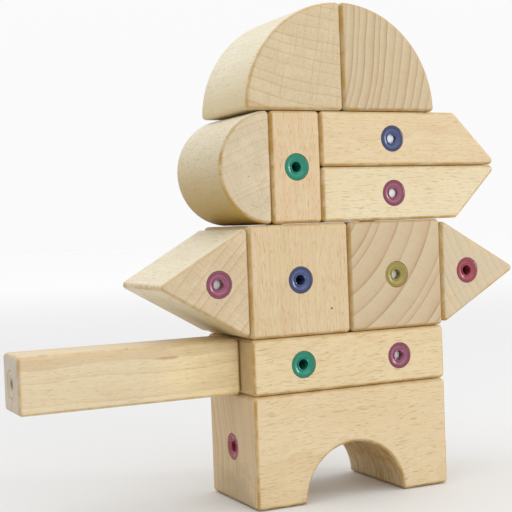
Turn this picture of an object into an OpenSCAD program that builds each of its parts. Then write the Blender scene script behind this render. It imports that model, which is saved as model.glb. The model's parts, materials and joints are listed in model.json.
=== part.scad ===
// Standing figure put together from a beech block kit. Every block is cut to one
// grid, has moulded sockets in its faces, and plugs onto its neighbours with
// short split pins. Millimetres, +Z up, +X along the long side, -Y is the front.
// The origin is in the middle of the footprint, on the surface the figure stands on.

/* [Grid] */
// Edge length of the grid that the blocks are cut to
unit = 40; // [38:1:44]
// Air between the faces of neighbouring blocks
gap = 0.2; // [0.1:0.05:0.4]
// Rounding radius of the block edges
edge_r = 1.6; // [1.2:0.1:2]

/* [Blocks] */
// Radius of the half-round arch under the foot block
arch_r = 20; // [16:0.5:21]
// Radius of the two quarter-round hat blocks
hat_r = 39; // [36:0.5:39.5]
// Length of the upper edge of a beak block, from its flat end
beak_edge = 58; // [50:1:60]

/* [Sockets] */
// Diameter of the hole in a socket
hole_d = 3.7; // [3.5:0.05:3.8]
// Diameter of the flange of a socket
flange_d = 9.5; // [9.2:0.1:11]
// Thickness of the flange of a socket
flange_t = 1.2; // [1:0.1:1.6]
// Diameter of the socket's body behind the flange
body_d = 7; // [6.6:0.1:7.4]
// Length of a socket
socket_l = 8; // [7:0.5:8]
// Depth of a blind hole, from the face of the block
blind_l = 12; // [10:0.5:13]

/* [Pins] */
// Running clearance on the radius of a connecting pin
pin_play = 0.05; // [0.03:0.01:0.08]
// Length of a connecting pin
pin_l = 16; // [14:0.5:16]
// Width of the slot that splits the ends of a pin
slot_w = 0.7; // [0.5:0.1:1]
// Distance from the front face of a beak block to its front plug
plug_recess_beak = 1.3; // [1:0.1:4]
// Distance from the front face to the plug in the other blocks
plug_recess_body = 2.5; // [1:0.1:4]
// How far below the face a front plug reaches
plug_end = 13.4; // [11:0.1:14]

/* [Hidden] */

g = gap / 2;                       // inset of a block inside its grid cell
h = unit / 2;                      // half a grid step
yf = h - g;                        // distance of the front and back faces
blind_f = plug_end + 0.1; // depth of the holes that take a front plug
side = unit - gap;                 // edge of a shoulder prism
prism_h = side * sin(60);          // height of a shoulder prism
prism_c = side * tan(30) / 2;      // its centre, from the base face
x0 = (3 * unit - g - (unit + g + prism_h - edge_r)) / 2; // middle of the footprint
xc = [-h, h];                      // columns of vertical pins
ball_n = 32;
ball_r = edge_r / cos(180 / ball_n);
beech = [0.86, 0.77, 0.60];
beech_pale = [0.91, 0.86, 0.74];
pink = [0.66, 0.32, 0.46];
green = [0.20, 0.56, 0.47];
blue = [0.30, 0.35, 0.55];
yellow = [0.66, 0.61, 0.29];
red = [0.74, 0.29, 0.38];
natural = [0.90, 0.88, 0.80];

// faces of the cells: the lower one of a block, and the upper one
function zl(k) = k * unit;
function zh(k) = k * unit - gap;
function zj(k) = k * unit - g;     // middle of the air gap on level k

// Sockets of each block: point on the face, direction into the block
zf = (zl(0) + zh(1)) / 2;
zw = (zl(1) + zh(1.5)) / 2;
zt = (zl(1.5) + zh(2.5)) / 2;
zn = (zl(2.5) + zh(3.5)) / 2;
zbl = (zl(2.5) + zh(3)) / 2;
zbu = (zl(3) + zh(3.5)) / 2;
X = [1, 0, 0]; Y = [0, 1, 0]; Z = [0, 0, 1];
foot_s = [[[-unit + g, 0, zf], X], [[unit - g, 0, zf], -X], for (x = xc) [[x, 0, zh(1)], -Z]];
waist_sl = [[[-h, -yf, zw], Y], [[-h, yf, zw], -Y], [[-h, 0, zl(1)], Z], [[-h, 0, zh(1.5)], -Z]];
waist_sr = [[[h, -yf, zw], Y], [[h, yf, zw], -Y], [[h, 0, zl(1)], Z], [[h, 0, zh(1.5)], -Z]];
waist_se = [[[-unit + g, 0, zw], X], [[unit - g, 0, zw], -X]];
arm_s = [[[-3 * unit + g, 0, zw], X], [[-unit - g, 0, zw], -X]];
function cube_s(x) = [[[x, -yf, zt], Y], [[x, yf, zt], -Y], [[x, 0, zl(1.5)], Z], [[x, 0, zh(2.5)], -Z],
                      [[x - yf, 0, zt], X], [[x + yf, 0, zt], -X]];
function prism_s(m) = let (c = m * (unit + g + prism_c)) [[[c, -yf, zt], Y], [[c, yf, zt], -Y], [[m * (unit + g), 0, zt], m * X]];
face_s = [[[-h, -yf, zn], Y], [[-h, yf, zn], -Y], [[-h, 0, zl(2.5)], Z], [[-h, 0, zh(3.5)], -Z], [[-1.5 * h + g, 0, zn], X]];
cheek_s = [[[-1.5 * h - g, 0, zn], -X]];
function beak_s(za, zb) = [[[h, -yf, (za + zb) / 2], Y], [[h, yf, (za + zb) / 2], -Y], [[h, 0, za], Z], [[h, 0, zb], -Z]];

// ---------- helpers ----------
// turns +Z to the direction d, at the point p
module aim(p, d) {
  translate(p) rotate(d.x > 0 ? [0, 90, 0] : d.x < 0 ? [0, -90, 0] : d.y > 0 ? [-90, 0, 0] : d.y < 0 ? [90, 0, 0] : d.z < 0 ? [180, 0, 0] : [0, 0, 0])
    children();
}

module ball() { rotate([90, 0, 0]) sphere(r = ball_r, $fn = ball_n); }

// rounded block whose outline in XZ has its rounding centres at the points pts
module soft_block(pts) {
  hull() for (p = pts, s = [-1, 1]) translate([p[0], s * (yf - edge_r), p[1]]) ball();
}

module soft_box(xa, xb, za, zb) {
  dx = (xb - xa) / 2 - edge_r; dz = (zb - za) / 2 - edge_r;
  translate([(xa + xb) / 2, 0, (za + zb) / 2]) soft_block([for (x = [-dx, dx], z = [-dz, dz]) [x, z]]);
}

// rounded sector of a disc of radius rad about (x, z), from angle a1 to a2, with flat sides
module soft_sector(x, z, rad, a1, a2, corners) {
  hull() {
    for (s = [-1, 1]) translate([x, s * (yf - edge_r), z]) rotate([90, 0, 0]) rotate([0, 0, a1])
      rotate_extrude(angle = a2 - a1, $fn = 96) translate([rad - edge_r, 0]) circle(r = edge_r, $fn = 32);
    for (p = corners, s = [-1, 1]) translate([p[0], s * (yf - edge_r), p[1]]) ball();
  }
}

// pocket that a socket is pressed into
module pocket(s) {
  aim(s[0], s[1]) {
    translate([0, 0, -1]) cylinder(d = flange_d + 0.2, h = flange_t + 1, $fn = 64);
    cylinder(d = body_d, h = socket_l, $fn = 48);
  }
}

// hole carried on into the wood; w widens it, so that crossing holes differ
module drill(s, len, w = 0) { aim(s[0], s[1]) cylinder(d = hole_d + w, h = len, $fn = 48); }

// moulded socket: flange just under the wood's face, a rounded groove, and a raised
// lip around the hole
module socket(s) {
  r = hole_d / 2; f = flange_d / 2; b = body_d / 2 - 0.02;
  q0 = r + 0.45; q1 = f - 1.15;
  aim(s[0], s[1]) rotate_extrude($fn = 64) polygon(concat(
    [[r, 0.55], [r + 0.03, 0.38], [r + 0.10, 0.27], [r + 0.20, 0.23], [r + 0.30, 0.27], [r + 0.38, 0.40], [q0, 0.55]],
    [for (i = [1:8]) let (t = i / 8) [q0 + (q1 - q0) * t, 0.55 - 0.276 * t - 0.207 * t * t]],
    [[f - 1.02, 0.05], [f - 0.35, 0.05], [f - 0.15, 0.10], [f - 0.04, 0.22], [f, 0.40],
     [f, flange_t], [b, flange_t], [b, socket_l - 0.5], [b - 0.4, socket_l], [r, socket_l]]));
}

// split pin with a thin collar in the middle that lies between two sockets, along +Z, centred
module pin() {
  r = hole_d / 2 - pin_play; e = pin_l / 2;
  difference() {
    rotate_extrude($fn = 48) polygon([
      [0, -e], [r - 0.5, -e], [r - 0.14, -e + 0.3], [r, -e + 0.8], [r, -0.24], [r + 1.05, -0.24], [r + 1.2, -0.12], [r + 1.2, 0.12],
      [r + 1.05, 0.24], [r, 0.24], [r, e - 0.8], [r - 0.14, e - 0.3], [r - 0.5, e], [0, e]]);
    for (s = [-1, 1]) translate([0, 0, s * (e - 2)]) cube([slot_w, 2 * r + 2, 5], center = true);
  }
}
module pin_at(p, d) { aim(p, d) pin(); }

// plain plug with a slightly domed end, pressed into a front hole
module plug(s, d) {
  e = plug_end - d;
  r = hole_d / 2 - 0.02;
  aim(s[0], s[1]) translate([0, 0, d]) rotate_extrude($fn = 48)
    polygon([[0, 0], [r * 0.5, 0.06], [r * 0.82, 0.2], [r, 0.5], [r, e - 0.4], [r - 0.4, e], [0, e]]);
}

// ---------- foot ----------
module arch_cut() {
  q = [for (a = [18:18:90]) [arch_r + edge_r * (1 - cos(a)), edge_r * (1 - sin(a))]];
  rotate([90, 0, 0]) cylinder(r = arch_r, h = unit + 4, center = true, $fn = 96);
  // rounded rims of the arch in the front and back faces
  for (s = [0, 1]) mirror([0, s, 0]) translate([0, -yf, 0]) rotate([-90, 0, 0]) rotate_extrude($fn = 96)
    polygon(concat([[arch_r - 2, 2 * edge_r], [arch_r - 0.35, 2 * edge_r]], q, [[arch_r + edge_r, -1], [arch_r - 2, -1]]));
  // rounded inner edges of the two legs
  for (s = [0, 1]) mirror([s, 0, 0]) rotate([90, 0, 0]) linear_extrude(unit + 4, center = true)
    polygon(concat([[arch_r - 3, 2.9], [arch_r - 0.5, 2.9]], q, [[arch_r + edge_r, -1], [arch_r - 3, -1]]));
}
module foot_block() {
  color(beech) translate([x0, 0, 0]) difference() {
    soft_box(-unit + g, unit - g, zl(0), zh(1));
    arch_cut();
    for (s = foot_s) { pocket(s); drill(s, blind_l); }
  }
}
module foot_sockets() { color(red) translate([x0, 0, 0]) for (s = foot_s) socket(s); }
module foot_pins() { color(natural) translate([x0, 0, 0]) for (x = xc) pin_at([x, 0, zj(1)], Z); }

// ---------- waist ----------
module waist_block() {
  color(beech) translate([x0, 0, 0]) difference() {
    soft_box(-unit + g, unit - g, zl(1), zh(1.5));
    for (s = concat(waist_sl, waist_sr, waist_se)) pocket(s);
    drill(waist_sl[0], unit - gap);
    drill(waist_sr[0], blind_f);
    drill(waist_sr[1], blind_l);
    for (w = [waist_sl, waist_sr]) drill(w[2], h - gap, 0.6);
    for (s = waist_se) drill(s, blind_l);
  }
}
module waist_sockets_left() { color(green) translate([x0, 0, 0]) for (s = waist_sl) socket(s); }
module waist_sockets_right() { color(pink) translate([x0, 0, 0]) for (s = waist_sr) socket(s); }
module waist_end_sockets() { color(blue) translate([x0, 0, 0]) for (s = waist_se) socket(s); }
module waist_pins() { color(natural) translate([x0, 0, 0]) for (x = xc) pin_at([x, 0, zj(1.5)], Z); }
module waist_plug() { color(natural) translate([x0, 0, 0]) plug(waist_sr[0], plug_recess_body); }

// ---------- arm ----------
module arm_block() {
  e = (unit / 4 - g) - edge_r;
  color(beech) translate([x0, 0, 0]) difference() {
    hull() for (x = [-3 * unit + g + edge_r, -unit - g - edge_r], s = [-1, 1], t = [-1, 1])
      translate([x, s * e, zw + t * e]) ball();
    for (s = arm_s) { pocket(s); drill(s, blind_l); }
  }
}
module arm_sockets() { color(natural) translate([x0, 0, 0]) for (s = arm_s) socket(s); }
module arm_pin() { color(natural) translate([x0, 0, 0]) pin_at([-unit, 0, zw], X); }

// ---------- torso ----------
module torso_cube(x) {
  s = cube_s(x);
  difference() {
    soft_box(x - yf, x + yf, zl(1.5), zh(2.5));
    for (k = s) pocket(k);
    // the left cube is drilled right through, the right one takes a front plug
    if (x < 0) drill(s[0], unit - gap);
    else { drill(s[0], blind_f); drill(s[1], blind_l); }
    for (i = [1, 2]) drill(s[2 * i], unit - gap, 0.6 * i);
  }
}
module torso_block_left() { color(beech) translate([x0, 0, 0]) torso_cube(-h); }
module torso_block_right() { color(beech) translate([x0, 0, 0]) torso_cube(h); }
module torso_sockets_left() { color(blue) translate([x0, 0, 0]) for (s = cube_s(-h)) socket(s); }
module torso_sockets_right() { color(yellow) translate([x0, 0, 0]) for (s = cube_s(h)) socket(s); }
module torso_plug_right() { color(natural) translate([x0, 0, 0]) plug(cube_s(h)[0], plug_recess_body); }
module torso_link_pin() { color(natural) translate([x0, 0, 0]) pin_at([0, 0, zt], X); }
module neck_pin() { color(natural) translate([x0, 0, 0]) pin_at([-h, 0, zj(2.5)], Z); }
module jaw_pin() { color(natural) translate([x0, 0, 0]) pin_at([h, 0, zj(2.5)], Z); }
module shoulder_pin_left() { color(natural) translate([x0, 0, 0]) pin_at([-unit, 0, zt], X); }
module shoulder_pin_right() { color(natural) translate([x0, 0, 0]) pin_at([unit, 0, zt], X); }

// ---------- shoulders ----------
// m is -1 on the left and 1 on the right
module shoulder(m) {
  a = unit + g + edge_r;
  zr = side / 2 - edge_r * tan(60);
  difference() {
    mirror([m < 0 ? 1 : 0, 0, 0]) soft_block([[a, zt - zr], [a, zt + zr], [unit + g + prism_h - 2 * edge_r, zt]]);
    for (s = prism_s(m)) pocket(s);
    if (m < 0) { drill(prism_s(m)[0], blind_f); drill(prism_s(m)[1], blind_l); }
    else drill(prism_s(m)[0], unit - gap);
    drill(prism_s(m)[2], m < 0 ? prism_c - 2 : prism_c, 0.6);
  }
}
module shoulder_block_left() { color(beech_pale) translate([x0, 0, 0]) shoulder(-1); }
module shoulder_sockets_left() { color(pink) translate([x0, 0, 0]) for (s = prism_s(-1)) socket(s); }
module shoulder_plug_left() { color(natural) translate([x0, 0, 0]) plug(prism_s(-1)[0], plug_recess_body); }
module shoulder_block_right() { color(beech_pale) translate([x0, 0, 0]) shoulder(1); }
module shoulder_sockets_right() { color(red) translate([x0, 0, 0]) for (s = prism_s(1)) socket(s); }

// ---------- face and cheek ----------
module face_block() {
  color(beech) translate([x0, 0, 0]) difference() {
    soft_box(-1.5 * h + g, -0.5 * h - g, zl(2.5), zh(3.5));
    for (s = face_s) pocket(s);
    drill(face_s[0], unit - gap);
    drill(face_s[2], unit - gap, 0.6);
    drill(face_s[4], h / 2, 1.2);
  }
}
module face_sockets() { color(green) translate([x0, 0, 0]) for (s = face_s) socket(s); }
module cheek_pin() { color(natural) translate([x0, 0, 0]) pin_at([-1.5 * h, 0, zn], X); }
module hat_pin_left() { color(natural) translate([x0, 0, 0]) pin_at([-h, 0, zj(3.5)], Z); }
module cheek_block() {
  r = (zh(3.5) - zl(2.5)) / 2;
  a = asin(edge_r / (r - edge_r));
  xa = -1.5 * h - g;
  color(beech_pale) translate([x0, 0, 0]) difference() {
    soft_sector(xa, zn, r, 90 + a, 270 - a,
      [for (s = [-1, 1]) [xa - edge_r, zn + s * (r - edge_r) * cos(a)]]);
    for (s = cheek_s) { pocket(s); drill(s, blind_l); }
  }
}
module cheek_socket() { color(yellow) translate([x0, 0, 0]) for (s = cheek_s) socket(s); }

// ---------- beak ----------
// bevelled block with its long edge on top, centred on z = 0
module beak() {
  dz = (zh(3) - zl(2.5)) / 2;
  xa = -0.5 * h + g;
  xs = -0.5 * h + beak_edge - g;
  soft_block([[xa + edge_r, dz - edge_r], [xa + edge_r, edge_r - dz],
    [xs - edge_r * tan(22.5), edge_r - dz], [xs + 2 * dz - edge_r / tan(22.5), dz - edge_r]]);
}
module beak_holes(za, zb) {
  s = beak_s(za, zb);
  for (k = s) pocket(k);
  drill(s[0], blind_f);
  drill(s[1], blind_l);
  drill(s[2], h - gap, 0.6);
}
module beak_block_lower() {
  color(beech) translate([x0, 0, 0]) difference() {
    translate([0, 0, zbl]) beak();
    beak_holes(zl(2.5), zh(3));
  }
}
module beak_block_upper() {
  color(beech) translate([x0, 0, 0]) difference() {
    translate([0, 0, zbu]) mirror([0, 0, 1]) beak();
    beak_holes(zl(3), zh(3.5));
  }
}
module beak_sockets_lower() { color(pink) translate([x0, 0, 0]) for (s = beak_s(zl(2.5), zh(3))) socket(s); }
module beak_sockets_upper() { color(blue) translate([x0, 0, 0]) for (s = beak_s(zl(3), zh(3.5))) socket(s); }
module beak_plug_lower() { color(natural) translate([x0, 0, 0]) plug(beak_s(zl(2.5), zh(3))[0], plug_recess_beak); }
module beak_plug_upper() { color(natural) translate([x0, 0, 0]) plug(beak_s(zl(3), zh(3.5))[0], plug_recess_beak); }
module beak_pin() { color(natural) translate([x0, 0, 0]) pin_at([h, 0, zj(3)], Z); }
module hat_pin_right() { color(natural) translate([x0, 0, 0]) pin_at([h, 0, zj(3.5)], Z); }

// ---------- hat ----------
module hat(m) {
  k = hat_r - edge_r;
  a = asin(edge_r / k);
  mirror([m > 0 ? 1 : 0, 0, 0]) soft_sector(-g, zl(3.5), hat_r, 90 + a, 180 - a,
    [[-g - edge_r, zl(3.5) + edge_r], [-g - edge_r, zl(3.5) + k * cos(a)], [-g - k * cos(a), zl(3.5) + edge_r]]);
}
module hat_block(m) {
  s = [[m * h, 0, zl(3.5)], Z];
  difference() {
    hat(m);
    pocket(s);
    drill(s, blind_l);
  }
}
module hat_block_left() { color(beech_pale) translate([x0, 0, 0]) hat_block(-1); }
module hat_block_right() { color(beech) translate([x0, 0, 0]) hat_block(1); }
module hat_socket_left() { color(red) translate([x0, 0, 0]) socket([[-h, 0, zl(3.5)], Z]); }
module hat_socket_right() { color(green) translate([x0, 0, 0]) socket([[h, 0, zl(3.5)], Z]); }

// ---------- placement ----------
foot_block();
foot_sockets();
foot_pins();
waist_block();
waist_sockets_left();
waist_sockets_right();
waist_end_sockets();
waist_pins();
waist_plug();
arm_block();
arm_sockets();
arm_pin();
torso_block_left();
torso_sockets_left();
torso_block_right();
torso_sockets_right();
torso_plug_right();
torso_link_pin();
neck_pin();
jaw_pin();
shoulder_pin_left();
shoulder_pin_right();
shoulder_block_left();
shoulder_sockets_left();
shoulder_plug_left();
shoulder_block_right();
shoulder_sockets_right();
face_block();
face_sockets();
cheek_pin();
hat_pin_left();
cheek_block();
cheek_socket();
beak_block_lower();
beak_sockets_lower();
beak_plug_lower();
beak_pin();
beak_block_upper();
beak_sockets_upper();
beak_plug_upper();
hat_pin_right();
hat_block_left();
hat_socket_left();
hat_block_right();
hat_socket_right();
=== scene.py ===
import bpy, bmesh, json, math
from mathutils import Vector, Matrix, noise as mnoise


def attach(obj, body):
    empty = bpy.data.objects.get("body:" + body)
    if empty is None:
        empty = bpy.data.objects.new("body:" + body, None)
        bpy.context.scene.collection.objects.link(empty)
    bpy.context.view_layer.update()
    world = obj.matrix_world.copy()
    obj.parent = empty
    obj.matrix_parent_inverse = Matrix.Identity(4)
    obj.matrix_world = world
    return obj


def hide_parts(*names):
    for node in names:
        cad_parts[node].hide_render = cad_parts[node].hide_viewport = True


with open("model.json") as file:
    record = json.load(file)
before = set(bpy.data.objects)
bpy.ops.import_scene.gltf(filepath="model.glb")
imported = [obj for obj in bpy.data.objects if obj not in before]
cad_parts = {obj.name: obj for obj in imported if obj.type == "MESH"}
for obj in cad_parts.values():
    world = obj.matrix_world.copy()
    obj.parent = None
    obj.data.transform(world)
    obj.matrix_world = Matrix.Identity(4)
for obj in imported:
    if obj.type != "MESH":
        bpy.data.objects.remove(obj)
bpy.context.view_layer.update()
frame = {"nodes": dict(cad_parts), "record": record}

S = bpy.context.scene
rec = frame["record"]
SLOT = {s["node"]: s["material_slot"] for s in rec["subparts"]}
BODY = {n: b for b, ns in rec["behaviour"]["bodies"].items() for n in ns}

# ------------------------------------------------------------------ node helper
class NT:
    def __init__(self, mat):
        mat.use_nodes = True
        self.t = mat.node_tree
        self.t.nodes.clear()
        self.n = 0

    def new(self, kind, **kw):
        nd = self.t.nodes.new(kind)
        nd.location = (180 * (self.n % 14), -220 * (self.n // 14))
        self.n += 1
        for k, v in kw.items():
            setattr(nd, k, v)
        return nd

    def put(self, sock, v):
        if v is None:
            return
        if hasattr(v, "is_output"):
            self.t.links.new(v, sock)
        else:
            sock.default_value = v

    def m(self, op, a, b=None, c=None, clamp=False):
        nd = self.new("ShaderNodeMath", operation=op, use_clamp=clamp)
        for i, v in enumerate((a, b, c)):
            self.put(nd.inputs[i], v)
        return nd.outputs[0]

    def vm(self, op, a, b=None):
        nd = self.new("ShaderNodeVectorMath", operation=op)
        self.put(nd.inputs[0], a)
        self.put(nd.inputs[1], b)
        return nd.outputs["Value"] if op in ("DOT_PRODUCT", "LENGTH", "DISTANCE") else nd.outputs[0]

    def xyz(self, x, y, z):
        nd = self.new("ShaderNodeCombineXYZ")
        for i, v in enumerate((x, y, z)):
            self.put(nd.inputs[i], v)
        return nd.outputs[0]

    def sep(self, v):
        nd = self.new("ShaderNodeSeparateXYZ")
        self.put(nd.inputs[0], v)
        return nd.outputs

    def noise(self, vec, scale=1.0, detail=2.0, rough=0.5, dim="3D", w=None):
        nd = self.new("ShaderNodeTexNoise", noise_dimensions=dim)
        if dim != "1D":
            self.put(nd.inputs["Vector"], vec)
        if dim in ("1D", "4D"):
            self.put(nd.inputs["W"], w)
        nd.inputs["Scale"].default_value = scale
        nd.inputs["Detail"].default_value = detail
        nd.inputs["Roughness"].default_value = rough
        return nd.outputs[0]

    def voro(self, vec, scale=1.0, rand=1.0):
        nd = self.new("ShaderNodeTexVoronoi", voronoi_dimensions="3D", feature="F1")
        self.put(nd.inputs["Vector"], vec)
        nd.inputs["Scale"].default_value = scale
        nd.inputs["Randomness"].default_value = rand
        return nd.outputs

    def smooth(self, x, a, b, lo=0.0, hi=1.0):
        nd = self.new("ShaderNodeMapRange", interpolation_type="SMOOTHSTEP")
        self.put(nd.inputs["Value"], x)
        nd.inputs["From Min"].default_value = a
        nd.inputs["From Max"].default_value = b
        nd.inputs["To Min"].default_value = lo
        nd.inputs["To Max"].default_value = hi
        return nd.outputs[0]

    def lin(self, x, a, b, lo=0.0, hi=1.0):
        nd = self.new("ShaderNodeMapRange", interpolation_type="LINEAR")
        self.put(nd.inputs["Value"], x)
        nd.inputs["From Min"].default_value = a
        nd.inputs["From Max"].default_value = b
        nd.inputs["To Min"].default_value = lo
        nd.inputs["To Max"].default_value = hi
        return nd.outputs[0]

    def mix(self, f, a, b, mode="MIX"):
        nd = self.new("ShaderNodeMix", data_type="RGBA", blend_type=mode)
        self.put(nd.inputs[0], f)
        for s, v in ((nd.inputs[6], a), (nd.inputs[7], b)):
            if isinstance(v, (tuple, list)):
                v = tuple(v) + ((1.0,) if len(v) == 3 else ())
            self.put(s, v)
        return nd.outputs[2]

    def curve(self, x, pts, straight=False):
        nd = self.new("ShaderNodeFloatCurve")
        c = nd.mapping.curves[0]
        for i, (px, py) in enumerate(pts):
            if i < 2:
                c.points[i].location = (px, py)
            else:
                c.points.new(px, py)
        if straight:
            for q in c.points:
                q.handle_type = "VECTOR"
        nd.mapping.update()
        self.put(nd.inputs["Value"], x)
        return nd.outputs[0]


# ------------------------------------------------------------------ beech
# Solid beech: everything is a function of the place inside the wood, so a ring seen on one face
# carries on round the edge into the next, end grain meets long grain as in a sawn block.
X0 = 23.466            # the row frame's x of the figure's own centre line, in millimetres

def beech(name, grain, pith, spacing=3.2, rings=None, ring=(0.25, 0.6), line=(0.12, 0.4), fleck=0.6, fleck_len=2.8,
          fleck_gap=4.8, row=1.25, fine=0.5, tone=(0.735, 0.590, 0.372), dark=(0.49, 0.338, 0.172), seed=0.0, warp=1.2,
          flow=1.3, ray=0.35, ray_gap=3.6, cloud=0.5, blush=0.4, end_tone=None, burnish_and_shade_amt=0.85, edge_kind="box",
          tan_ref=None, scratch=0.09, painted_shade_low=None, streak=0.38, vein=0.45, vein_len=1.0, arch=None, burnish_and_shade_col=(0.46, 0.256, 0.034), painted_light_patches=(), marks_and_painted_shade=()):
    mat = bpy.data.materials.new(name)
    k = NT(mat)
    tc = k.new("ShaderNodeTexCoord")
    L = Vector(grain).normalized()
    e1 = Vector((1, 0, 0)) if abs(L.x) < 0.5 else Vector((0, 1, 0))
    e1 = (e1 - L * e1.dot(L)).normalized()
    e2 = L.cross(e1)
    P = k.vm("SCALE", tc.outputs["Object"])
    P.node.inputs["Scale"].default_value = 1000.0
    pv = Vector((pith[0] + X0, pith[1], pith[2]))
    D = k.vm("SUBTRACT", P, tuple(pv))
    x = k.vm("DOT_PRODUCT", D, tuple(e1))
    y = k.vm("DOT_PRODUCT", D, tuple(e2))
    z = k.m("ADD", k.vm("DOT_PRODUCT", P, tuple(L)), 137.0 + 61.0 * seed)
    # slow wander of the rings, and a quicker one of the fibres round small swellings
    q = k.xyz(k.m("MULTIPLY", x, 0.045), k.m("MULTIPLY", y, 0.045), k.m("MULTIPLY", z, 0.012))
    q = k.vm("ADD", q, (seed * 3.1, seed * 1.7, seed * 5.3))
    for vec, sc, amp in ((q, 1.0, warp * 2), (k.vm("ADD", P, (seed * 97.0, 13.0, seed * 41.0)), 0.036, flow * 2)):
        wv = k.new("ShaderNodeTexNoise", noise_dimensions="3D")
        k.put(wv.inputs["Vector"], vec)
        wv.inputs["Scale"].default_value = sc
        wv.inputs["Detail"].default_value = 2.0
        wv.inputs["Roughness"].default_value = 0.45
        ws = k.sep(wv.outputs["Color"])
        x = k.m("ADD", x, k.m("MULTIPLY", k.m("SUBTRACT", ws[0], 0.5), amp))
        y = k.m("ADD", y, k.m("MULTIPLY", k.m("SUBTRACT", ws[1], 0.5), amp))
    r = k.m("SQRT", k.m("ADD", k.m("MULTIPLY", x, x), k.m("MULTIPLY", y, y)))
    R0 = max(20.0, tan_ref or 60.0)
    t = k.m("MULTIPLY", k.m("ARCTAN2", y, x), R0)
    # ---- rings
    if rings:
        N = len(rings) - 1
        ra, rb = rings[0], rings[-1]
        u = k.lin(r, ra, rb, 0.0, 1.0)
        ph = k.m("MULTIPLY", k.curve(u, [(0.0, 0.0), (1.0, 1.0)] +
                 [((q_ - ra) / (rb - ra), (i + 1) / N) for i, q_ in enumerate(rings[1:-1])], True), float(N))
    else:
        rn = k.noise(None, 0.16, 1.0, 0.5, "1D", k.m("ADD", r, 31.7 * seed + 11.0))
        ph = k.m("ADD", k.m("DIVIDE", r, spacing), k.m("MULTIPLY", k.m("SUBTRACT", rn, 0.5), 2.2))
    fr = k.m("FRACT", ph)
    late = k.curve(fr, [(0, 0.0), (1, 0.30), (0.30, 0.14), (0.62, 0.40), (0.82, 0.66), (0.945, 1.0)])
    ln = k.curve(fr, [(0, 0.35), (1, 0.75), (0.05, 0.0), (0.88, 0.0), (0.965, 1.0)])
    yr = k.new("ShaderNodeTexWhiteNoise", noise_dimensions="1D")
    k.put(yr.inputs["W"], k.m("ADD", k.m("FLOOR", ph), seed * 17.0))
    yrv = yr.outputs["Value"]
    late = k.m("MULTIPLY", late, k.lin(yrv, 0, 1, 0.55, 1.2))
    ln = k.m("MULTIPLY", ln, k.lin(yrv, 0, 1, 0.35, 1.2))
    # the ring line fades in and out along its length
    lf = k.noise(k.xyz(k.m("MULTIPLY", t, 0.11), k.m("MULTIPLY", z, 0.05), k.m("MULTIPLY", r, 0.12)), 1.0, 2.0, 0.5)
    ln = k.m("MULTIPLY", ln, k.smooth(lf, 0.30, 0.62, 0.25, 1.0))
    # ---- fibres and pores, drawn out along the grain
    fib = k.noise(k.xyz(k.m("MULTIPLY", x, 1.6), k.m("MULTIPLY", y, 1.6), k.m("MULTIPLY", z, 0.07)), 1.0, 3.0, 0.62)
    pores = k.noise(k.xyz(k.m("MULTIPLY", x, 5.0), k.m("MULTIPLY", y, 5.0), k.m("MULTIPLY", z, 0.45)), 1.0, 2.0, 0.6)
    # ---- rays: thin upright sheets that run from the pith outwards, seen as spindle-shaped dashes on the flat face
    def dashes(cell_t, cell_z, cell_r, half_w, half_l, keep, off):
        rv = k.xyz(k.m("DIVIDE", k.m("ADD", t, off), cell_t), k.m("DIVIDE", z, cell_z), k.m("DIVIDE", r, cell_r))
        vo = k.voro(rv)
        dl = k.sep(k.vm("SUBTRACT", rv, vo["Position"]))
        rc = k.sep(vo["Color"])
        du = k.m("ABSOLUTE", k.m("DIVIDE", k.m("MULTIPLY", dl[0], cell_t / half_w), k.lin(rc[2], 0, 1, 0.7, 1.35)))
        dv = k.m("DIVIDE", k.m("MULTIPLY", dl[1], cell_z / half_l), k.lin(rc[0], 0, 1, 0.35, 1.25))
        body = k.m("SUBTRACT", k.m("SUBTRACT", 1.25, k.m("MULTIPLY", dv, dv)), du)
        on = k.smooth(body, 0.0, 0.7)
        return k.m("MULTIPLY", on, k.smooth(rc[1], keep, min(1.0, keep + 0.45), 0.0, 1.0))
    fl = dashes(row, fleck_gap, 15.0, 0.145, fleck_len / 2, 0.10, 0.0)
    fl2 = dashes(0.62, 2.3, 8.0, 0.075, 0.60, 0.22, 7.3)
    dens = k.noise(k.vm("ADD", P, (seed * 19.0, 5.0, 2.0)), 0.075, 2.0, 0.5)
    # thin wavy veins, a few millimetres long
    vx = k.m("ADD", x, k.m("MULTIPLY", k.m("SUBTRACT", k.noise(k.xyz(0.0, k.m("MULTIPLY", y, 0.10), k.m("MULTIPLY", z, 0.16)), 1.0, 1.0, 0.5), 0.5), 1.6))
    vy = k.m("ADD", y, k.m("MULTIPLY", k.m("SUBTRACT", k.noise(k.xyz(k.m("MULTIPLY", x, 0.10), 7.0, k.m("MULTIPLY", z, 0.16)), 1.0, 1.0, 0.5), 0.5), 1.6))
    vn = k.noise(k.xyz(k.m("MULTIPLY", vx, 1.9), k.m("MULTIPLY", vy, 1.9), k.m("MULTIPLY", z, 0.30 / vein_len)), 1.0, 1.0, 0.45)
    ve = k.smooth(vn, 0.60, 0.76)
    fl = k.m("MULTIPLY", fl, k.smooth(dens, 0.30, 0.60, 0.35, 1.0))
    # ---- how far a face looks along the grain: 1 on end grain, 0 on long grain
    nrm = tc.outputs["Normal"]
    ca = k.m("ABSOLUTE", k.vm("DOT_PRODUCT", nrm, tuple(L)))
    end = k.smooth(ca, 0.45, 0.85)
    # broad rays on end grain
    rw = k.xyz(k.m("DIVIDE", t, ray_gap), k.m("DIVIDE", z, 30.0), k.m("DIVIDE", r, 20.0))
    vo3 = k.voro(rw)
    dl3 = k.sep(k.vm("SUBTRACT", rw, vo3["Position"]))
    br = k.smooth(k.m("ABSOLUTE", k.m("MULTIPLY", dl3[0], ray_gap / 0.17)), 0.3, 1.2, 1.0, 0.0)
    br = k.m("MULTIPLY", k.m("MULTIPLY", br, end), k.smooth(k.sep(vo3["Color"])[1], 0.2, 0.7, 0.15, 1.0))
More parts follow.
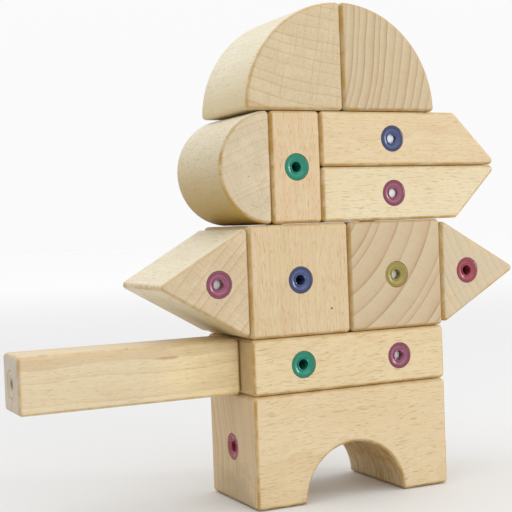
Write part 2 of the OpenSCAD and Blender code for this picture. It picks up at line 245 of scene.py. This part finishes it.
    # ---- colour
    cl = k.noise(k.vm("ADD", k.vm("MULTIPLY", P, (0.022, 0.022, 0.022)), (seed * 7.7, 3.0, seed)), 1.0, 2.0, 0.5)
    base = k.mix(k.m("MULTIPLY", k.smooth(cl, 0.3, 0.72), cloud), tone,
                 (tone[0] * 0.93, tone[1] * 0.885, tone[2] * 0.82))
    if end_tone:
        base = k.mix(end, base, end_tone)
    for sp in painted_light_patches:       # broad, soft patches of painted light, lighter where a neighbour shades the surface
        pd = k.m("ADD", k.vm("DISTANCE", P, (sp[0] + X0, sp[1], sp[2])), k.m("MULTIPLY", k.m("SUBTRACT", cl, 0.5), sp[3] * 0.8))
        base = k.mix(k.m("MULTIPLY", k.smooth(pd, sp[3] * 0.25, sp[3], 1.0, 0.0), sp[5]), base, sp[4])
    bl = k.noise(k.xyz(k.m("MULTIPLY", x, 0.16), k.m("MULTIPLY", y, 0.16), k.m("MULTIPLY", z, 0.07)), 1.0, 3.0, 0.55)
    base = k.mix(k.m("MULTIPLY", k.smooth(bl, 0.42, 0.70), blush), base,
                 (tone[0] * 0.96, tone[1] * 0.845, tone[2] * 0.78))
    base = k.mix(k.m("MULTIPLY", k.smooth(fib, 0.36, 0.68), streak), base,
                 (tone[0] * 0.88, tone[1] * 0.80, tone[2] * 0.68))
    rcol = (dark[0] * 1.15, dark[1] * 1.15, dark[2] * 1.15)
    rs = k.lin(end, 0, 1, ring[0], ring[1])
    ls = k.lin(end, 0, 1, line[0], line[1])
    base = k.mix(k.m("MULTIPLY", late, rs, clamp=True), base, rcol)
    base = k.mix(k.m("MULTIPLY", ln, ls, clamp=True), base, (dark[0] * 0.86, dark[1] * 0.80, dark[2] * 0.76))
    nf = k.m("SUBTRACT", 1.0, k.m("MULTIPLY", end, 0.62))
    fcol = (dark[0] * 0.72, dark[1] * 0.62, dark[2] * 0.52)
    base = k.mix(k.m("MULTIPLY", k.m("MULTIPLY", ve, vein), nf, clamp=True), base, (dark[0] * 0.85, dark[1] * 0.76, dark[2] * 0.66))
    base = k.mix(k.m("MULTIPLY", k.m("MULTIPLY", fl, fleck), nf, clamp=True), base, fcol)
    base = k.mix(k.m("MULTIPLY", k.m("MULTIPLY", fl2, fleck * fine), nf, clamp=True), base, fcol)
    base = k.mix(k.m("MULTIPLY", br, ray, clamp=True), base, (dark[0] * 0.9, dark[1] * 0.86, dark[2] * 0.82))
    base = k.mix(k.m("MULTIPLY", k.smooth(pores, 0.52, 0.76), 0.26), base, (dark[0] * 0.9, dark[1] * 0.85, dark[2] * 0.8))
    # ---- short scratches, each a small disc in the wood that the surface cuts
    if scratch:
        sv = k.vm("ADD", k.vm("MULTIPLY", P, (0.19, 0.19, 0.19)), (seed * 5.0, 1.0, 3.0))
        vs = k.voro(sv)
        sd = k.vm("SUBTRACT", sv, vs["Position"])
        sn = k.vm("NORMALIZE", k.vm("SUBTRACT", vs["Color"], (0.5, 0.5, 0.5)))
        s1 = k.smooth(k.m("ABSOLUTE", k.vm("DOT_PRODUCT", sd, sn)), 0.008, 0.030, 1.0, 0.0)
        s2 = k.smooth(k.vm("LENGTH", sd), 0.20, 0.34, 1.0, 0.0)
        scr = k.m("MULTIPLY", s1, s2)
        base = k.mix(k.m("MULTIPLY", scr, scratch, clamp=True), base, (0.27, 0.185, 0.085))
    # ---- edges and rims tinted golden brown: partly burnished wood, partly painted shade in the gaps between blocks
    ns = k.sep(nrm)
    an = [k.m("ABSOLUTE", ns[i]) for i in range(3)]
    if edge_kind == "box":
        mx = k.m("MAXIMUM", an[0], k.m("MAXIMUM", an[1], an[2]))
    elif edge_kind == "rim":
        rad = k.m("SQRT", k.m("ADD", k.m("MULTIPLY", ns[0], ns[0]), k.m("MULTIPLY", ns[2], ns[2])))
        mx = k.m("MAXIMUM", an[1], rad)
    else:
        mx = an[1]
        for d in edge_kind:
            mx = k.m("MAXIMUM", mx, k.vm("DOT_PRODUCT", nrm, tuple(Vector(d).normalized())))
    burnish_and_shade = k.smooth(mx, 0.83, 0.990, 1.0, 0.0)
    en = k.noise(k.vm("MULTIPLY", P, (0.22, 0.22, 0.22)), 1.0, 3.0, 0.65)
    burnish_and_shade = k.m("MULTIPLY", burnish_and_shade, k.smooth(en, 0.30, 0.62, 0.30, 1.0))
    # the painted part of the edge shade is weaker where the surface faces up, where the top light falls
    burnish_and_shade = k.m("MULTIPLY", burnish_and_shade, k.smooth(ns[2], 0.05, 0.65, 1.0, 0.45))      # paler where it faces up
    # painted shade: darker and more golden towards the bottom of the block, where neighbours and the floor shade it
    if painted_shade_low:
        low_shade_mask = k.m("MULTIPLY", k.smooth(k.sep(P)[2], painted_shade_low[0], painted_shade_low[1], 1.0, 0.0), k.m("SUBTRACT", 1.0, end))
        base = k.mix(k.m("MULTIPLY", low_shade_mask, painted_shade_low[3]), base, painted_shade_low[2])
    # mix in the edge tint: burnished rims plus painted shade of the gaps
    base = k.mix(k.m("MULTIPLY", burnish_and_shade, burnish_and_shade_amt, clamp=True), base, burnish_and_shade_col)
    if arch:
        # the sawn half-round: saw marks that follow its rim, and painted shade that makes it darker and browner low
        # down inside the arch
        ac = k.sep(P)
        ax = k.m("SUBTRACT", ac[0], arch[0] + X0)
        am = k.smooth(k.m("SQRT", k.m("ADD", k.m("MULTIPLY", ax, ax), k.m("MULTIPLY", ac[2], ac[2]))), arch[1] + 0.02, arch[1] + 0.5, 1.0, 0.0)
        aw = k.noise(k.xyz(k.m("MULTIPLY", ax, 0.05), 3.0, k.m("MULTIPLY", ac[2], 0.09)), 1.0, 2.0, 0.5)
        an_ = k.noise(k.xyz(k.m("MULTIPLY", ax, 0.06), k.m("MULTIPLY", k.m("ADD", ac[1], k.m("MULTIPLY", aw, 7.0)), 1.15), k.m("MULTIPLY", ac[2], 0.10)), 1.0, 3.0, 0.65)
        base = k.mix(k.m("MULTIPLY", k.m("MULTIPLY", am, k.smooth(an_, 0.48, 0.62)), 0.50), base, (0.29, 0.175, 0.060))
        # painted shade: darker and browner towards the bottom of the arch
        base = k.mix(k.m("MULTIPLY", k.m("MULTIPLY", am, k.smooth(ac[2], 0.0, 10.0, 1.0, 0.0)), 0.20), base, (0.30, 0.185, 0.050))
    # small marks and knots in the wood, and broad spots of painted shade
    for sp in marks_and_painted_shade:
        sx, sy, sz, rad_, col_, f_ = sp[:6]
        wob = k.m("MULTIPLY", k.m("SUBTRACT", en, 0.5), rad_ * 0.9)
        dv_ = k.vm("MULTIPLY", k.vm("SUBTRACT", P, (sx + X0, sy, sz)), sp[6] if len(sp) > 6 else (1.0, 1.0, 1.0))
        dd = k.m("ADD", k.vm("LENGTH", dv_), wob)
        base = k.mix(k.m("MULTIPLY", k.smooth(dd, rad_ * 0.45, rad_, 1.0, 0.0), f_), base, col_)
    # ---- surface
    b = k.new("ShaderNodeBsdfPrincipled")
    k.put(b.inputs["Base Color"], base)
    rg = k.m("ADD", k.lin(fib, 0.25, 0.75, 0.47, 0.60), k.m("MULTIPLY", end, 0.08))
    rg = k.m("SUBTRACT", rg, k.m("MULTIPLY", burnish_and_shade, 0.07))
    k.put(b.inputs["Roughness"], rg)
    b.inputs["Specular IOR Level"].default_value = 0.34
    b.inputs["IOR"].default_value = 1.46
    hgt = k.m("ADD", k.m("MULTIPLY", fib, 0.030), k.m("MULTIPLY", pores, 0.016))
    hgt = k.m("SUBTRACT", hgt, k.m("MULTIPLY", fl, 0.018))
    hgt = k.m("SUBTRACT", hgt, k.m("MULTIPLY", ln, 0.012))
    if scratch:
        hgt = k.m("SUBTRACT", hgt, k.m("MULTIPLY", scr, 0.030))
    hgt = k.m("ADD", hgt, k.m("MULTIPLY", k.noise(P, 0.11, 2.0, 0.5), 0.16))
    bp = k.new("ShaderNodeBump")
    bp.inputs["Strength"].default_value = 0.55
    bp.inputs["Distance"].default_value = 0.001
    k.put(bp.inputs["Height"], hgt)
    k.put(b.inputs["Normal"], bp.outputs[0])
    out = k.new("ShaderNodeOutputMaterial")
    k.put(out.inputs[0], b.outputs[0])
    return mat


def plastic(name, col, deep, rough=0.22, mottle=0.5, trans=0.0, spec=0.5, seed=0.0):
    """Moulded, slightly translucent plastic: faint flow marks, fine orange peel, small scuffs, and painted light that
    leaves flat faces darker than the sloped groove.
    """
    mat = bpy.data.materials.new(name)
    k = NT(mat)
    tc = k.new("ShaderNodeTexCoord")
    P = k.vm("SCALE", tc.outputs["Object"])
    P.node.inputs["Scale"].default_value = 1000.0
    flow = k.noise(k.vm("ADD", P, (seed, seed * 2, 0)), 0.32, 3.0, 0.55)
    fine = k.noise(P, 2.4, 2.0, 0.6)
    nn = k.sep(tc.outputs["Normal"])
    # painted light: flat faces such as the flange take the deep colour and the sloped groove the lighter one, as if it
    # caught more light
    flat_face_shade = k.m("MAXIMUM", k.m("ABSOLUTE", nn[0]), k.m("MAXIMUM", k.m("ABSOLUTE", nn[1]), k.m("ABSOLUTE", nn[2])))
    flat_face_shade = k.smooth(flat_face_shade, 0.93, 0.999)
    c = k.mix(k.m("MULTIPLY", k.smooth(flow, 0.32, 0.68), mottle * 0.5), col, deep)
    c = k.mix(k.m("MULTIPLY", flat_face_shade, 0.8), c, deep)
    c = k.mix(k.m("MULTIPLY", k.smooth(fine, 0.58, 0.80), 0.22), c, tuple(min(1, v * 1.35 + 0.03) for v in col))
    sc = k.noise(k.vm("MULTIPLY", P, (0.6, 0.6, 5.0)), 1.0, 2.0, 0.5)
    scu = k.smooth(sc, 0.66, 0.74)
    b = k.new("ShaderNodeBsdfPrincipled")
    k.put(b.inputs["Base Color"], c)
    k.put(b.inputs["Roughness"], k.m("ADD", k.lin(flow, 0.3, 0.7, rough * 0.85, rough * 1.2), k.m("MULTIPLY", scu, 0.14)))
    b.inputs["IOR"].default_value = 1.49
    b.inputs["Specular IOR Level"].default_value = spec
    b.inputs["Subsurface Weight"].default_value = trans
    b.inputs["Subsurface Radius"].default_value = (1.0, 0.8, 0.7)
    b.inputs["Subsurface Scale"].default_value = 0.0012
    hgt = k.m("ADD", k.m("MULTIPLY", k.noise(P, 1.1, 2.0, 0.5), 0.020), k.m("MULTIPLY", scu, -0.006))
    bp = k.new("ShaderNodeBump")
    bp.inputs["Strength"].default_value = 0.4
    bp.inputs["Distance"].default_value = 0.001
    k.put(bp.inputs["Height"], hgt)
    k.put(b.inputs["Normal"], bp.outputs[0])
    out = k.new("ShaderNodeOutputMaterial")
    k.put(out.inputs[0], b.outputs[0])
    return mat


def ang(a):
    return (math.cos(math.radians(a)), 0.0, math.sin(math.radians(a)))

KNOT = (0.21, 0.125, 0.055)
WOOD = {
    "foot_block": dict(grain=(1, 0, 0.055), pith=(10, 105, 12), tan_ref=110, spacing=3.2, ring=(0.20, 0.85), line=(0.08, 0.60), warp=2.0,
                       fleck=0.36, tone=(0.760, 0.622, 0.398), seed=1.0, fleck_len=4.7, fleck_gap=6.6, row=1.25, fine=0.12, vein=0.46, vein_len=1.6, arch=(0.0, 20.0),
                       end_tone=(0.660, 0.530, 0.350), flow=2.0, ray=0.08,
                       marks_and_painted_shade=((7.9, -19.9, 32.3, 0.75, (0.52, 0.28, 0.11), 0.46, (0.28, 1.0, 1.7)),
                              (-7.2, -19.9, 31.8, 0.7, (0.50, 0.28, 0.13), 0.40, (0.28, 1.0, 1.7)),
                              (-12.9, -19.9, 30.7, 0.7, (0.50, 0.28, 0.13), 0.36, (0.30, 1.0, 1.7)),
                              (4.0, -19.9, 31.6, 0.8, (0.50, 0.28, 0.20), 0.32, (0.34, 1.0, 1.7)),
                              # painted shade: this broad brown spot darkens the foot's left end towards the floor
                              (-49.0, 0.0, -4.0, 25.0, (0.40, 0.295, 0.17), 0.56))),
    "waist_block": dict(grain=(1, 0, 0.035), pith=(0, 80, 66), tan_ref=95, spacing=3.6, ring=(0.20, 0.55), line=(0.10, 0.40),
                        fleck=0.40, tone=(0.764, 0.626, 0.390), seed=2.0, fleck_len=5.0, fleck_gap=7.0, fine=0.12, vein=0.52, vein_len=1.8,
                        # the waist's end tone is darkened as painted shade: its left end lies in the arm's shade
                        end_tone=(0.500, 0.360, 0.175), flow=2.4),
    "arm_block": dict(grain=(1, 0, 0), pith=(0, 62, 95), tan_ref=80, spacing=3.4, ring=(0.22, 0.30), line=(0.12, 0.14),
                      fleck=0.26, tone=(0.768, 0.656, 0.452), seed=3.0, fleck_len=3.6, fleck_gap=5.6, row=1.6, fine=0.2, vein=0.26, vein_len=1.3, burnish_and_shade_amt=0.5,
                      end_tone=(0.540, 0.520, 0.465), flow=1.0,
                      marks_and_painted_shade=((-67.4, -9.9, 55.3, 1.15, (0.50, 0.27, 0.12), 0.66, (0.22, 1.0, 1.5)),
                             (-71.0, -9.9, 55.4, 0.8, (0.50, 0.27, 0.12), 0.32, (0.28, 1.0, 1.6)),),
                      # painted light: a broad lighter, yellower patch on the arm's right part, where the prism and
                      # waist shade it
                      painted_light_patches=((-45.0, -9.9, 49.0, 33.0, (0.985, 0.790, 0.420), 0.70),)),
    "torso_block_left": dict(grain=(0, 0, 1), pith=(-46, 95, 80), tan_ref=112, spacing=4.0, ring=(0.18, 0.5), line=(0.08, 0.4),
                             fleck=0.36, tone=(0.700, 0.562, 0.358), seed=4.0, fleck_len=3.6, fleck_gap=6.0, row=1.2, fine=0.14, streak=0.60, vein=0.50, vein_len=1.1,
                             flow=0.9, marks_and_painted_shade=((-7.9, -19.9, 69.1, 0.46, (0.16, 0.08, 0.04), 0.95),
                                              (-27.4, -19.9, 67.5, 3.2, (0.60, 0.36, 0.22), 0.16))),
    "torso_block_right": dict(grain=(0, 1, 0), pith=(-28, 0, 118), tan_ref=62, warp=0.35, flow=0.5,
                              rings=(30.0, 36.5, 42.8, 45.8, 53.4, 59.9, 66.9, 74.0, 76.8, 83.2, 86.6, 91.0, 95.0),
                              ring=(0.5, 1.0), line=(0.25, 0.72), fleck=0.16, tone=(0.624, 0.520, 0.352), seed=5.0,
                              ray=0.10, burnish_and_shade_amt=0.8, dark=(0.450, 0.312, 0.184), blush=0.45),
    "shoulder_block_left": dict(grain=(0, 1, 0), pith=(132.6, 0, -83.9), tan_ref=245,
                                rings=(226.0, 230.0, 233.8, 236.6, 240.8, 243.1, 246.9, 249.6, 253.2, 258.2, 263.0, 267.0),
                                ring=(0.10, 0.50), line=(0.08, 0.50),
                                fleck=0.24, fine=0.3, tone=(0.842, 0.785, 0.602), seed=6.0, warp=0.7, ray=0.24, ray_gap=3.0, burnish_and_shade_amt=0.6,
                                edge_kind=((1, 0, 0), ang(120), ang(240)), end_tone=(0.600, 0.470, 0.310), painted_shade_low=(58.0, 82.0, (0.50, 0.385, 0.170), 0.95)),
    "shoulder_block_right": dict(grain=(0, 1, 0), pith=(302.7, 0, 204.8), tan_ref=280,
                                 rings=(262.0, 265.5, 268.3, 271.8, 275.5, 279.3, 282.3, 285.0, 287.1, 289.5, 292.3, 296.0),
                                 ring=(0.10, 0.42), line=(0.08, 0.44),
                                 fleck=0.36, tone=(0.780, 0.650, 0.435), seed=7.0, warp=1.2, ray=0.26,
                                 edge_kind=((-1, 0, 0), ang(60), ang(-60)), end_tone=(0.605, 0.530, 0.385)),
    "face_block": dict(grain=(0, 0, 1), pith=(-15, 88, 120), tan_ref=105, spacing=4.0, ring=(0.22, 0.5), line=(0.10, 0.4),
                       fleck=0.36, tone=(0.725, 0.570, 0.366), seed=8.0, fleck_len=3.0, fleck_gap=4.8, row=1.0, fine=0.18, streak=0.55, vein=0.5, vein_len=1.0,
                       flow=0.7, burnish_and_shade_amt=0.95, blush=0.6),
    "cheek_block": dict(grain=(0, 1, 0), pith=(17, 0, -31), tan_ref=150, spacing=3.5, ring=(0.04, 0.26), line=(0.03, 0.42),
                        fleck=0.26, fine=0.9, tone=(0.838, 0.788, 0.630), seed=9.0, warp=0.8, ray=0.26, ray_gap=3.8, burnish_and_shade_amt=0.85,
                        edge_kind="rim", end_tone=(0.590, 0.492, 0.338), scratch=0.36,
                        painted_shade_low=(98.0, 142.0, (0.395, 0.250, 0.036), 0.97),
                        marks_and_painted_shade=((-41.2, -18.9, 105.9, 1.0, KNOT, 0.85), (-35.3, -18.6, 102.2, 0.9, KNOT, 0.8),
                               (-32.6, -18.6, 101.2, 0.7, KNOT, 0.6), (-38.9, -19.9, 116.8, 0.45, KNOT, 0.5))),
    "beak_block_upper": dict(grain=(1, 0, 0), pith=(0, 118, 150), tan_ref=132, spacing=4.2, ring=(0.14, 0.5), line=(0.06, 0.4),
                             fleck=0.28, tone=(0.750, 0.608, 0.390), seed=10.0, fleck_len=3.2, fleck_gap=5.2, row=1.15, fine=0.25, vein=0.36, vein_len=1.0,
                             edge_kind=((0, 0, 1), (0, 0, -1), (-1, 0, 0), ang(45))),
    "beak_block_lower": dict(grain=(1, 0, 0), pith=(0, 74, 96), tan_ref=90, spacing=3.6, ring=(0.14, 0.5), line=(0.08, 0.4),
                             fleck=0.38, fine=0.15, vein=0.42, vein_len=1.8, tone=(0.795, 0.694, 0.470), seed=11.0, fleck_len=4.6, fleck_gap=6.4, row=1.4,
                             flow=2.0, blush=0.2, edge_kind=((0, 0, 1), (0, 0, -1), (-1, 0, 0), ang(-45))),
    "hat_block_left": dict(grain=(0, 1, 0), pith=(20.2, 0, 339.3), tan_ref=185,
                           rings=(157.0, 161.5, 165.6, 169.6, 173.6, 178.1, 181.1, 184.6, 188.1, 192.8, 196.1, 200.6, 205.0),
                           ring=(0.02, 0.22), line=(0.03, 0.50),
                           fleck=0.11, fine=0.3, tone=(0.862, 0.805, 0.625), seed=12.0, warp=0.9, ray=0.44, ray_gap=4.2,
                           edge_kind="rim", burnish_and_shade_amt=0.65, end_tone=(0.590, 0.470, 0.292), blush=0.25, scratch=0.16,
                           painted_shade_low=(137.0, 163.0, (0.60, 0.47, 0.235), 0.80)),
    "hat_block_right": dict(grain=(0, 1, 0), pith=(-116.1, 0, 180.0), tan_ref=136, ring=(0.4, 1.0), line=(0.25, 0.52),
                            rings=(111.5, 115.5, 119.2, 122.5, 124.7, 127.8, 131.5, 133.7, 136.3, 139.8, 142.8, 146.6, 149.8, 152.8, 156.6, 160.0),
                            fleck=0.18, tone=(0.628, 0.525, 0.352), seed=13.0, warp=0.8, ray=0.10, edge_kind="rim", burnish_and_shade_amt=0.9,
                            dark=(0.418, 0.292, 0.165)),
}

# ------------------------------------------------------------------ wood pieces: the CAD block's shape, welded,
# and shaded smooth over the sanded rounding
def wood_piece(node, seed):
    src = frame["nodes"][node]
    me = src.data.copy()
    me.name = "wood_" + node
    ob = bpy.data.objects.new("wood_" + node, me)
    S.collection.objects.link(ob)
    bm = bmesh.new()
    bm.from_mesh(me)
    bmesh.ops.remove_doubles(bm, verts=bm.verts, dist=2e-6)
    bmesh.ops.dissolve_degenerate(bm, dist=1e-6, edges=bm.edges)
    bmesh.ops.recalc_face_normals(bm, faces=bm.faces)
    for f in bm.faces:
        f.smooth = True
    bm.to_mesh(me)
    bm.free()
    for a in ("custom_normal", "sharp_face"):
        if a in me.attributes:
            me.attributes.remove(me.attributes[a])
    me.set_sharp_from_angle(angle=math.radians(28))
    wn = ob.modifiers.new("weighted", "WEIGHTED_NORMAL")
    wn.keep_sharp = True
    wn.weight = 60
    me.materials.clear()
    me.materials.append(beech("beech_" + node, **WOOD[node]))
    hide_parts(node)
    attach(ob, BODY[node])
    return ob

for i, n in enumerate(WOOD):
    wood_piece(n, i)

# ------------------------------------------------------------------ plastic
PLAST = {
    "socket_pink": plastic("moulded_pink", (0.330, 0.105, 0.175), (0.190, 0.032, 0.060), 0.19, 0.6, 0.10, seed=1),
    "socket_green": plastic("moulded_green", (0.012, 0.245, 0.185), (0.001, 0.190, 0.090), 0.19, 0.6, 0.06, seed=2),
    "socket_blue": plastic("moulded_blue", (0.074, 0.112, 0.270), (0.033, 0.033, 0.070), 0.19, 0.6, 0.08, seed=3),
    "socket_yellow": plastic("moulded_yellow", (0.345, 0.290, 0.090), (0.280, 0.210, 0.018), 0.26, 0.6, 0.12, seed=4),
    "socket_red": plastic("moulded_red", (0.350, 0.060, 0.095), (0.255, 0.032, 0.042), 0.26, 0.6, 0.10, seed=5),
    "socket_natural": plastic("moulded_natural", (0.560, 0.455, 0.320), (0.520, 0.435, 0.310), 0.34, 0.4, 0.18, seed=6),
    "pin_white": plastic("moulded_pin", (0.965, 0.962, 0.945), (0.940, 0.935, 0.915), 0.30, 0.4, 0.15, seed=7),
}
for n, o in frame["nodes"].items():
    if SLOT[n] in PLAST:
        if not o.material_slots:
            o.data.materials.append(None)
        for s in o.material_slots:
            s.link = "OBJECT"
            s.material = PLAST[SLOT[n]]

# ------------------------------------------------------------------ floor, light, camera
def plain(name, col, rough, far):
    mat = bpy.data.materials.new(name)
    k = NT(mat)
    tc = k.new("ShaderNodeTexCoord")
    nz = k.noise(tc.outputs["Object"], 9.0, 3.0, 0.5)
    b = k.new("ShaderNodeBsdfPrincipled")
    near = k.mix(k.m("MULTIPLY", nz, 0.3), col, tuple(v * 0.985 for v in col))
    # painted shade: the floor is darker round the figure and near white far off
    k.put(b.inputs["Base Color"], k.mix(k.smooth(k.vm("LENGTH", tc.outputs["Object"]), 0.30, 1.9), near, far))
    k.put(b.inputs["Roughness"], k.lin(nz, 0, 1, rough - 0.04, rough + 0.04))
    b.inputs["Specular IOR Level"].default_value = 0.2
    out = k.new("ShaderNodeOutputMaterial")
    k.put(out.inputs[0], b.outputs[0])
    return mat

bm = bmesh.new()
bmesh.ops.create_grid(bm, x_segments=8, y_segments=8, size=6.0)
me = bpy.data.meshes.new("floor")
bm.to_mesh(me); bm.free()
floor = bpy.data.objects.new("floor", me)
floor.location.z = -0.0002
me.materials.append(plain("pale_floor", (0.77, 0.77, 0.765), 0.75, (0.998, 0.998, 0.998)))
S.collection.objects.link(floor)

W = bpy.data.worlds.new("world")
S.world = W
W.use_nodes = True
wt = W.node_tree
wt.nodes.clear()
wc = wt.nodes.new("ShaderNodeTexCoord")
wz = wt.nodes.new("ShaderNodeSeparateXYZ")
wt.links.new(wc.outputs["Generated"], wz.inputs[0])

def wrange(sock, a, b, lo, hi):
    nd = wt.nodes.new("ShaderNodeMapRange")
    nd.interpolation_type = "SMOOTHSTEP"
    for i, v in enumerate((a, b, lo, hi)):
        nd.inputs[i + 1].default_value = v
    wt.links.new(sock, nd.inputs[0])
    return nd.outputs[0]

def wmix(f, a, b):
    nd = wt.nodes.new("ShaderNodeMix")
    nd.data_type = "RGBA"
    for i, v in ((0, f), (6, a), (7, b)):
        if hasattr(v, "is_output"):
            wt.links.new(v, nd.inputs[i])
        else:
            nd.inputs[i].default_value = v
    return nd.outputs[2]

# dimmer on the left, brighter on the right, near white behind and overhead
side = wmix(wrange(wz.outputs[0], -0.85, 0.65, 0.0, 1.0), (0.478, 0.476, 0.470, 1), (0.752, 0.756, 0.762, 1))
ring_ = wmix(wrange(wz.outputs[1], 0.10, 0.80, 0.0, 1.0), side, (0.957, 0.957, 0.957, 1))
sky = wmix(wrange(wz.outputs[2], 0.10, 0.75, 0.0, 1.0), ring_, (1.02, 1.02, 1.03, 1))
bg = wt.nodes.new("ShaderNodeBackground")
wt.links.new(sky, bg.inputs[0])
bg.inputs[1].default_value = 1.0
wo = wt.nodes.new("ShaderNodeOutputWorld")
wt.links.new(bg.outputs[0], wo.inputs[0])

def area(name, loc, target, size, power, col=(1, 1, 1), size_y=None):
    d = bpy.data.lights.new(name, "AREA")
    d.energy = power
    d.color = col
    d.shape = "RECTANGLE"
    d.size = size
    d.size_y = size_y or size
    o = bpy.data.objects.new(name, d)
    o.location = loc
    v = Vector(target) - Vector(loc)
    o.rotation_euler = v.to_track_quat("-Z", "Y").to_euler()
    S.collection.objects.link(o)
    return o

area("key", (0.25, -1.25, 0.62), (0, 0, 0.09), 0.9, 2.30, (0.985, 0.988, 0.974))
area("side", (1.08, -0.52, 0.30), (0, 0, 0.10), 0.16, 3.3, (1.0, 0.995, 0.985), 0.40)
area("top", (-0.30, -0.10, 1.15), (0, 0, 0.09), 0.9, 2.0, (1.0, 1.0, 1.0))

az, el, roll = math.radians(25.579), math.radians(-1.447), math.radians(-2.113)
f = Vector((math.sin(az) * math.cos(el), math.cos(az) * math.cos(el), math.sin(el)))
r0 = f.cross(Vector((0, 0, 1))).normalized()
u0 = r0.cross(f)
rr = math.cos(roll) * r0 + math.sin(roll) * u0
uu = -math.sin(roll) * r0 + math.cos(roll) * u0
M = Matrix((rr, uu, -f)).transposed().to_4x4()
cam = bpy.data.cameras.new("camera")
cam.sensor_fit = "HORIZONTAL"
cam.sensor_width = 36.0
cam.lens = 36.0 * 1144.9 / 512.0
cam.clip_start = 0.01
cam.clip_end = 60
co = bpy.data.objects.new("camera", cam)
M.translation = Vector((-5.22 * 0.04 + X0 / 1000, -9.457 * 0.04, 2.48 * 0.04))
co.matrix_world = M
S.collection.objects.link(co)
S.camera = co
S.view_settings.view_transform = "Standard"
S.view_settings.look = "None"
S.view_settings.exposure = 0.0
